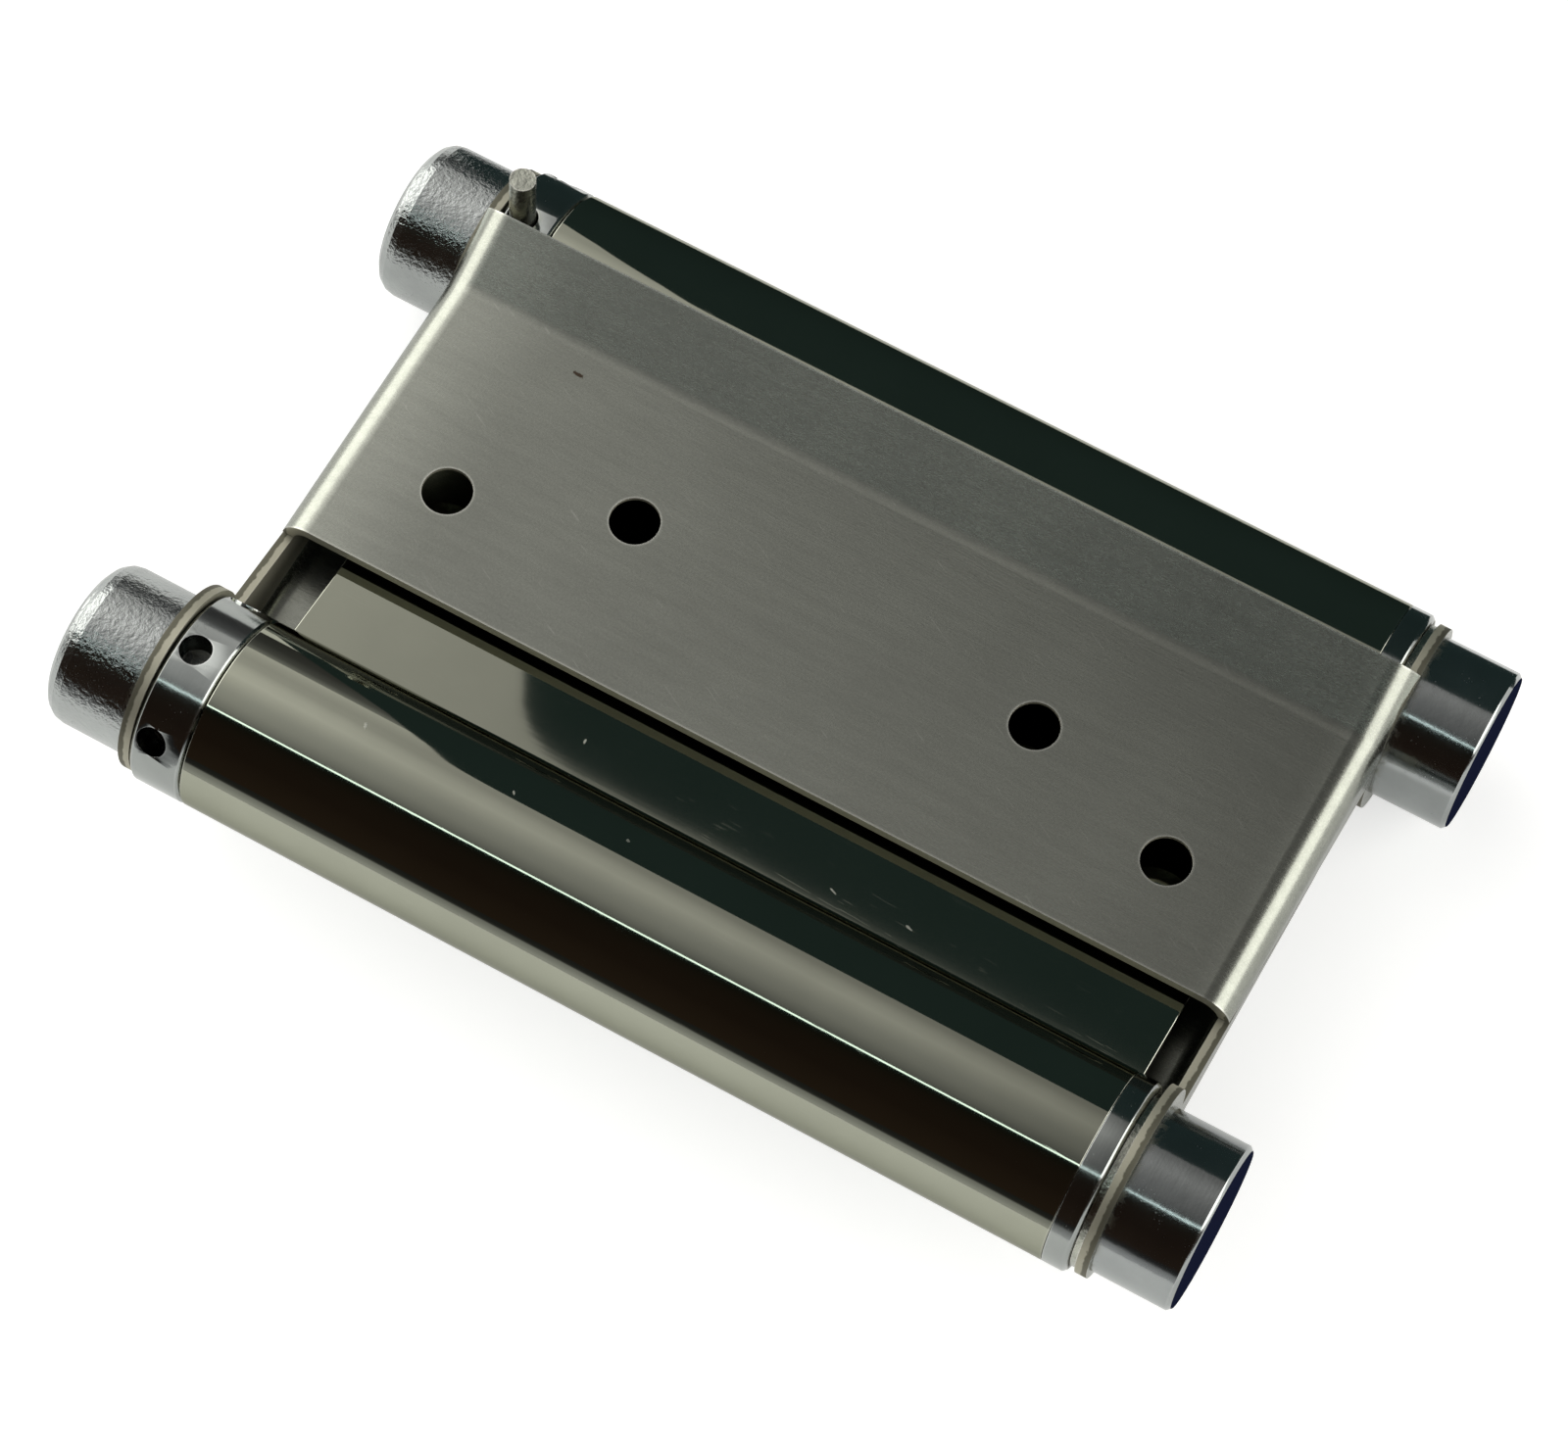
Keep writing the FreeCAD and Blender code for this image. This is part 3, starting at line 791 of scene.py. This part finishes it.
# %% [markdown]
# ## The ceiling
#
# Overhead is a pale ceiling. It is brightest about twenty degrees behind the front barrel and dims towards
# the front and the rear, which shades each barrel from its top down to its sides. It is also brighter to the
# left, which the flat leaf shows as a soft fall of tone from left to right. A curve on the place along X
# gives that.

# %% Ceiling
strip_angle = -25.0
strip_spread = 1.7
ceiling_front = over(strip_angle + strip_spread / 2)
strip_front = over(strip_angle - strip_spread / 2)

ceiling_glow, tree, light = glow("ceiling_glow", grey(0.5), 1.0)
ceiling_tones = [
    (over(-23.5), grey(0.20)),
    (over(-20), grey(0.27)),
    (over(-10), grey(0.40, 0.01)),
    (over(0), grey(0.48, 0.01)),
    (over(10), grey(0.60, 0.02)),
    (over(19), grey(0.70, 0.02)),
    (over(28), grey(0.60, 0.02)),
    (over(37), grey(0.42, 0.02)),
    (over(45), grey(0.36, 0.02)),
]
split = fade(tree, light, "Y", ceiling_tones)
left_to_right = [
    (-1.4, 3.0),
    (-1.0, 2.8),
    (-0.7, 2.3),
    (-0.5, 1.75),
    (-0.42, 1.5),
    (-0.38, 1.34),
    (-0.33, 1.14),
    (-0.24, 0.97),
    (-0.13, 0.84),
    (-0.02, 0.5),
    (0.1, 0.3),
]
first_x, brightest = left_to_right[0]
span_x = left_to_right[-1][0] - first_x
spread = add(tree, "ShaderNodeFloatCurve")
from_first = maths(tree, "SUBTRACT", split["X"], first_x)
join(tree, maths(tree, "DIVIDE", from_first, span_x, clamp=True), spread.inputs["Value"])
points = spread.mapping.curves[0].points
while len(points) < len(left_to_right):
    points.new(0.5, 0.5)
for point, (where, strength) in zip(points, left_to_right):
    point.location = ((where - first_x) / span_x, strength / brightest)
spread.mapping.update()
join(tree, maths(tree, "MULTIPLY", spread.outputs["Value"], brightest), light.inputs["Strength"])
ceiling_corners = full_width((ceiling_front, ceiling_height), (back, ceiling_height))
plane("ceiling", ceiling_corners, ceiling_glow, seen=False)
print("ceiling from", round(ceiling_front / mm), "to", round(back / mm), "mm")

# %% [markdown]
# ## The strip lamp, and the dark in front
#
# A thin strip lamp along the ceiling's front edge draws the single bright line down each barrel. In front
# stands a dark card that comes down almost to the floor. Its foot is a low sill with a short fade of its own,
# where the floor's white ends: a colour ramp has only 256 steps, so ten millimetres need their own card.
# Both dark cards are for the mirrors only, and throw no shadow.

# %% Strip lamp, front card and sill
strip_glow, tree, light = glow("strip_glow", (0.84, 1.0, 0.98), 3.2)
strip_corners = full_width((strip_front, ceiling_height), (ceiling_front, ceiling_height))
plane("strip_lamp", strip_corners, strip_glow, seen=False)

front_glow, tree, light = glow("front_glow", grey(0.02), 1.0)
front_tones = [
    (0.0, (0.034, 0.022, 0.015)),
    (0.06, (0.022, 0.014, 0.010)),
    (0.4, (0.012, 0.011, 0.008)),
    (0.8, (0.014, 0.022, 0.021)),
    (1.02, (0.026, 0.050, 0.046)),
    (1.19, (0.050, 0.092, 0.085)),
]
fade(tree, light, "Z", front_tones)
sill_glow, tree, light = glow("sill_glow", grey(0.3), 1.0)
sill_tones = [
    (-0.0119, grey(0.62)),
    (-0.009, grey(0.56)),
    (-0.0053, grey(0.44)),
    (-0.0015, grey(0.36)),
    (0.0006, grey(0.05)),
    (0.003, grey(0.03)),
    (0.008, grey(0.024)),
]
fade(tree, light, "Z", sill_tones)
sill_foot = (-0.085, floor_height)
sill_top = (-0.093, 0.008)
card_top = (strip_front, ceiling_height)
plane("front_sill", full_width(sill_foot, sill_top), sill_glow, seen=False, lights=False)
plane("front_card", full_width(sill_top, card_top), front_glow, seen=False, lights=False)
print("sill", round(sill_foot[0] / mm), "mm in front of the middle, card up to", round(card_top[1], 2), "m")

# %% [markdown]
# ## The dark card behind, and the back wall
#
# Close behind the hinge stands a low dark card. It leans back a little, and its rounded upper corner shows
# in the web and as a dark wedge in the front barrel. It is for the mirrors only too. Far behind is a back
# wall that is dim below and paler near the ceiling.

# %% Rear card and back wall
dark_glow, tree, light = glow("dark_glow", (0.024, 0.040, 0.039), 1.0)
dark_outline = [
    (-0.057, floor_height),
    (0.065, floor_height),
    (0.065, 0.1285),
    (-0.045, 0.1245),
    (-0.0485, 0.1232),
    (-0.0505, 0.1205),
    (-0.0515, 0.116),
    (-0.0515, 0.108),
    (-0.048, 0.08),
    (-0.047, 0.045),
    (-0.049, 0.03),
    (-0.053, 0.01),
]
dark_foot = 0.048
dark_lean = 0.26
dark_corners = [(x, dark_foot + (z - floor_height) * dark_lean, z) for x, z in dark_outline]
plane("rear_dark_card", dark_corners, dark_glow, seen=False, lights=False)

pale_glow, tree, light = glow("pale_glow", grey(0.36, 0.02), 1.0)
fade(tree, light, "Z", [(0.0, grey(0.05)), (0.5, grey(0.07)), (0.9, grey(0.14)), (1.2, grey(0.34))])
plane("pale_back", full_width((back, floor_height), (back, ceiling_height)), pale_glow, seen=False)
print("rear card starts", round(dark_foot / mm), "mm behind the middle")

# %% [markdown]
# ## Side lamps and world
#
# Left and right stand soft lamps, which light the rounded bends of the leaves. The world is plain white, and
# the view is Standard, so a colour comes out about as it is written.

# %% Side lamps and world
lamp_white = (1.0, 0.99, 0.95)
for side_name, side, strength in (("left", -1, 3.2), ("right", 1, 3.0)):
    lamp_glow, tree, light = glow(f"side_glow_{side_name}", lamp_white, strength)
    foot_x = side * 1.2
    head_x = side * 0.95
    corners = [(foot_x, -0.6, 0.12), (foot_x, 1.0, 0.12), (head_x, 1.0, 1.0), (head_x, -0.6, 1.0)]
    plane(f"side_lamp_{side_name}", corners, lamp_glow, seen=False)

world = bpy.data.worlds.new("studio")
world.use_nodes = True
world.node_tree.nodes["Background"].inputs["Color"].default_value = (1.0, 1.0, 0.99, 1.0)
world.node_tree.nodes["Background"].inputs["Strength"].default_value = 1.0
bpy.context.scene.world = world
bpy.context.scene.view_settings.view_transform = "Standard"

# %% [markdown]
# ## The camera
#
# The picture is taken from the front, above and a little to the right, with the camera rolled so that the
# hinge runs down to the right. The place was found by fitting the hinge's edges to the photograph.

# %% Camera
camera_place = Vector((76.132, -160.831, 378.609)) * mm
camera_aim = Vector((0.7068, -2.5914, 0.0)) * mm
camera_roll = 3.9386
lens_mm = 121.5

camera_data = bpy.data.cameras.new("camera")
camera_data.lens = lens_mm
camera_data.sensor_fit = "HORIZONTAL"
camera_data.sensor_width = 36.0
camera_data.clip_start = 0.01
camera_data.clip_end = 20.0
camera = bpy.data.objects.new("camera", camera_data)
bpy.context.scene.collection.objects.link(camera)
look = (camera_aim - camera_place).to_track_quat("-Z", "Y").to_matrix().to_4x4()
camera.matrix_world = Matrix.Translation(camera_place) @ look @ Matrix.Rotation(radians(camera_roll), 4, "Z")
bpy.context.scene.camera = camera
print("camera up", [round(value, 3) for value in camera.matrix_world.col[1][:3]])

# %% [markdown]
# ## Sizes
#
# The finishes and soft edges must not make the hinge any larger. The box round everything, measured before
# they were added, is printed.

# %% Sizes
print("box before", [round(value / mm, 2) for corner in cad_box for value in corner])
